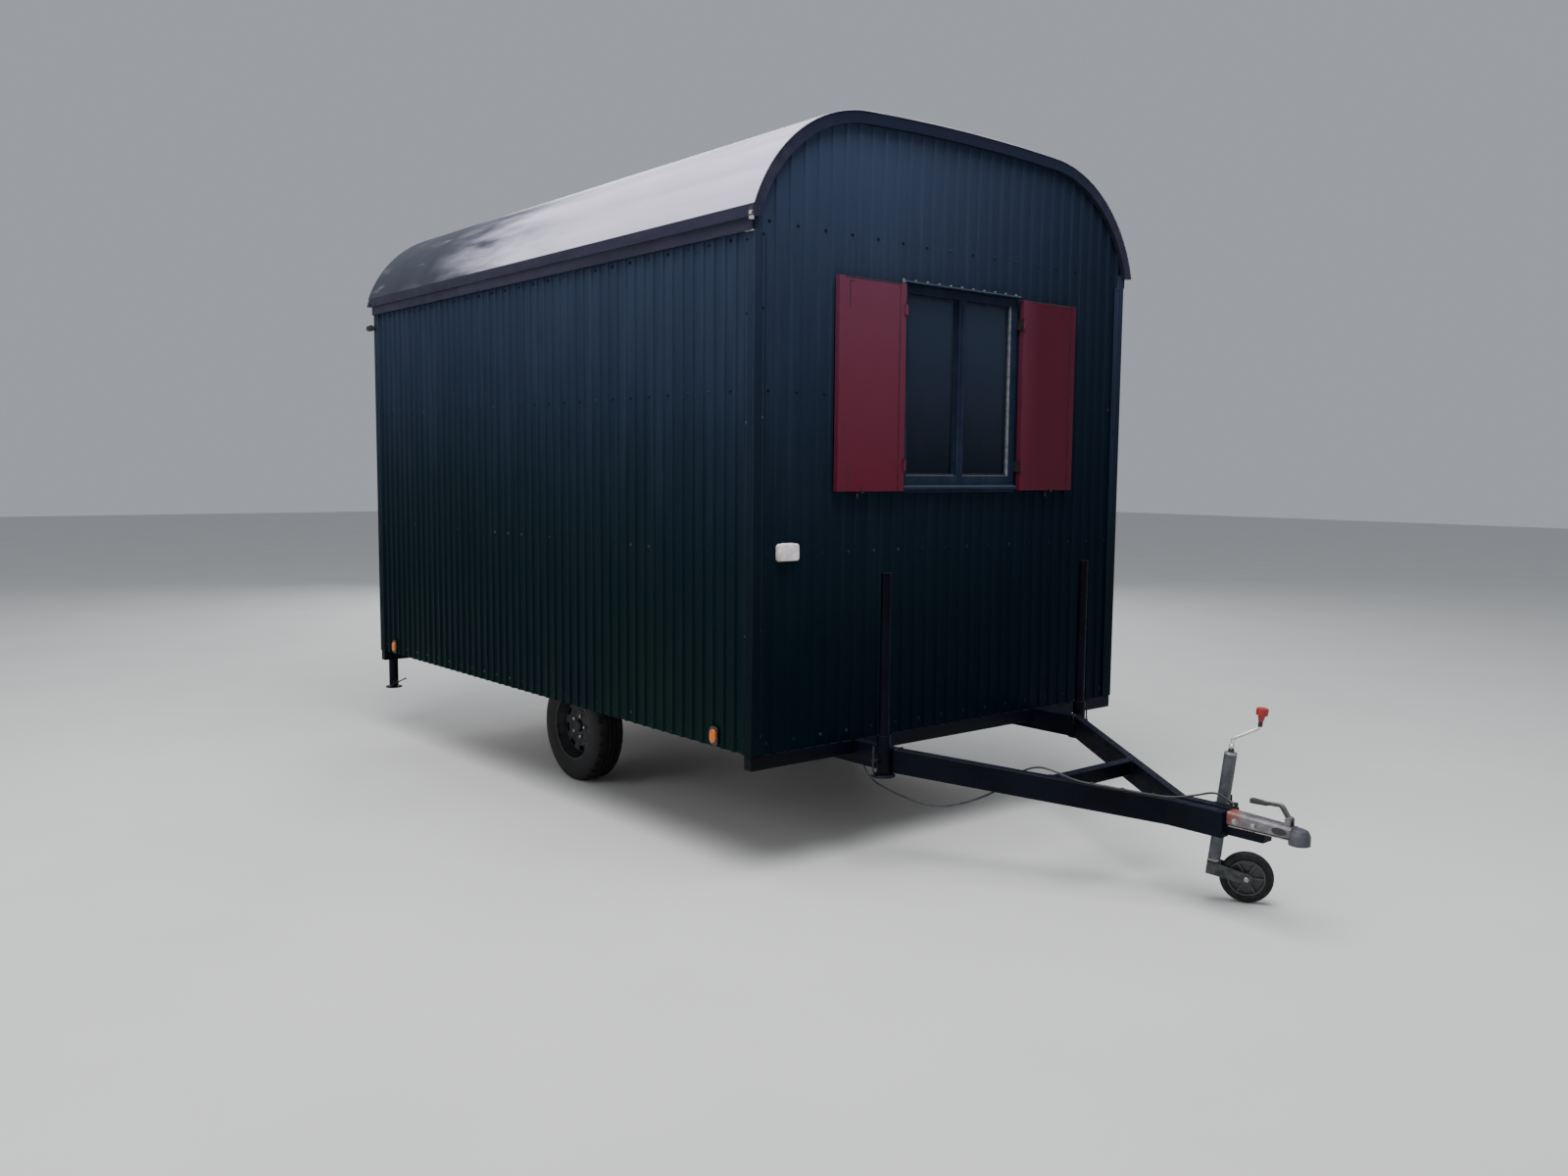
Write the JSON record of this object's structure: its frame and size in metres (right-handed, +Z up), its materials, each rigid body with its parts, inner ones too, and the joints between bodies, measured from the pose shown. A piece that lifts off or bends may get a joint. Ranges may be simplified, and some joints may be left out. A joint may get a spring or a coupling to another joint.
{
  "type": "shepherds hut",
  "caption": "Small hut with an arched roof and ribbed metal walls on a two-wheeled chassis with an A-frame drawbar, jockey wheel, four corner steadies and a shuttered window.",
  "frame": {"origin": "On the ground, under the middle of the overall length and width (bottom centre of the bounding box).", "axes": "+X forward along the drawbar, +Y to the hut's left, +Z up."},
  "size_m": [5.546, 2.443, 3.1048],
  "materials": {
    "wall_panel": "satin",
    "floor_board": "satin",
    "cladding": "satin",
    "trim": "satin",
    "door_paint": "satin",
    "roof_sheet": "satin",
    "window_frame": "satin",
    "glass": "gloss",
    "shutter_red": "satin",
    "chassis": "satin",
    "galvanised": "satin",
    "steel": "satin",
    "tyre": "matte",
    "jockey_rubber": "matte",
    "jockey_plastic": "satin",
    "knob_red": "satin",
    "white_plastic": "satin",
    "amber_plastic": "gloss",
    "lamp_plastic": "gloss",
    "cable_rubber": "matte",
    "clip_plastic": "satin"
  },
  "bodies": {
    "hut": {"floor": "floor_board", "wheel_boxes": "steel", "left_wall": "wall_panel", "right_wall": "wall_panel", "front_wall_lower": "wall_panel", "front_wall_sides": "wall_panel", "front_wall_gable": "wall_panel", "rear_wall_sides": "wall_panel", "rear_wall_gable": "wall_panel", "right_cladding": "cladding", "left_cladding": "cladding", "front_cladding": "cladding", "rear_cladding": "cladding", "corner_trims": "trim", "roof_shell": "wall_panel", "roof_sheet": "roof_sheet", "arch_trims": "trim", "eave_fascias": "trim", "window_frame": "window_frame", "window_panes": "glass", "drip_flashing": "window_frame", "window_sill": "window_frame", "shutter_hinges": "steel", "door_frame": "door_paint", "door": "door_paint", "door_handle": "steel", "chassis_rails": "chassis", "end_beams": "chassis", "drawbar_legs": "chassis", "drawbar_crossbar": "chassis", "axle": "chassis", "front_steady_sleeves": "chassis", "rear_steady_sleeves": "chassis", "jockey_clamp": "steel", "coupling_body": "galvanised", "inlet_cover": "white_plastic", "side_markers": "amber_plastic", "rear_marker_lamps": "lamp_plastic", "cable": "cable_rubber", "cable_clips": "clip_plastic"},
    "right_wheel": {"right_tyre": "tyre", "right_rim": "steel"},
    "left_wheel": {"left_tyre": "tyre", "left_rim": "steel"},
    "right_shutter_leaf": {"right_shutter": "shutter_red"},
    "left_shutter_leaf": {"left_shutter": "shutter_red"},
    "front_right_steady_leg": {"front_right_steady": "chassis"},
    "front_left_steady_leg": {"front_left_steady": "chassis"},
    "rear_right_steady_leg": {"rear_right_steady": "chassis"},
    "rear_left_steady_leg": {"rear_left_steady": "chassis"},
    "jockey_tube": {"jockey_outer_tube": "galvanised"},
    "jockey_slide_tube": {"jockey_inner_tube": "galvanised"},
    "jockey_swivel": {"jockey_fork": "galvanised"},
    "jockey_wheel": {"jockey_tyre": "jockey_rubber", "jockey_rim": "jockey_plastic"},
    "crank": {"jockey_crank": "galvanised", "crank_knob": "knob_red"},
    "lever": {"coupling_lever": "steel"}
  },
  "joints": [
    {"name": "right_wheel_spin", "type": "hinge", "parent": "hut", "child": "right_wheel", "pos_m": [-0.805, -0.826, 0.285], "axis": [0, 1, 0], "continuous": true},
    {"name": "left_wheel_spin", "type": "hinge", "parent": "hut", "child": "left_wheel", "pos_m": [-0.805, 0.826, 0.285], "axis": [0, 1, 0], "continuous": true},
    {"name": "right_shutter_swing", "type": "hinge", "parent": "hut", "child": "right_shutter_leaf", "pos_m": [1.104, -0.3815, 1.987], "axis": [0, 0, 1], "range_deg": [0, 180]},
    {"name": "left_shutter_swing", "type": "hinge", "parent": "hut", "child": "left_shutter_leaf", "pos_m": [1.104, 0.3815, 1.987], "axis": [0, 0, -1], "range_deg": [0, 180]},
    {"name": "front_right_steady_slide", "type": "slide", "parent": "hut", "child": "front_right_steady_leg", "axis": [0, 0, -1], "range_m": [0, 0.377]},
    {"name": "front_left_steady_slide", "type": "slide", "parent": "hut", "child": "front_left_steady_leg", "axis": [0, 0, -1], "range_m": [0, 0.377]},
    {"name": "rear_right_steady_slide", "type": "slide", "parent": "hut", "child": "rear_right_steady_leg", "axis": [0, 0, -1], "range_m": [0, 0.239]},
    {"name": "rear_left_steady_slide", "type": "slide", "parent": "hut", "child": "rear_left_steady_leg", "axis": [0, 0, -1], "range_m": [0, 0.239]},
    {"name": "jockey_tube_slide", "type": "slide", "parent": "hut", "child": "jockey_tube", "axis": [0.1219, 0, 0.9925], "range_m": [0, 0.055]},
    {"name": "crank_turn", "type": "hinge", "parent": "jockey_tube", "child": "crank", "pos_m": [2.39424, 0.1, 0.58], "axis": [0.1219, 0, 0.9925], "continuous": true},
    {"name": "jockey_extend", "type": "slide", "parent": "jockey_tube", "child": "jockey_slide_tube", "axis": [-0.1219, 0, -0.9925], "range_m": [0, 0.16]},
    {"name": "jockey_swivel_turn", "type": "hinge", "parent": "jockey_slide_tube", "child": "jockey_swivel", "pos_m": [2.34022, 0.1, 0.14], "axis": [0.1219, 0, 0.9925], "continuous": true},
    {"name": "jockey_wheel_spin", "type": "hinge", "parent": "jockey_swivel", "child": "jockey_wheel", "pos_m": [2.44425, 0.16285, 0.10067], "axis": [-0.4991, 0.8644, 0.0613], "continuous": true},
    {"name": "coupling_lever_lift", "type": "hinge", "parent": "hut", "child": "lever", "pos_m": [2.695, 0, 0.407], "axis": [0, 1, 0], "range_deg": [0, 45]}
  ],
  "couplings": [
    {"joint": "crank_turn", "follows": "jockey_extend", "rad_per_m": -1047.2}
  ]
}
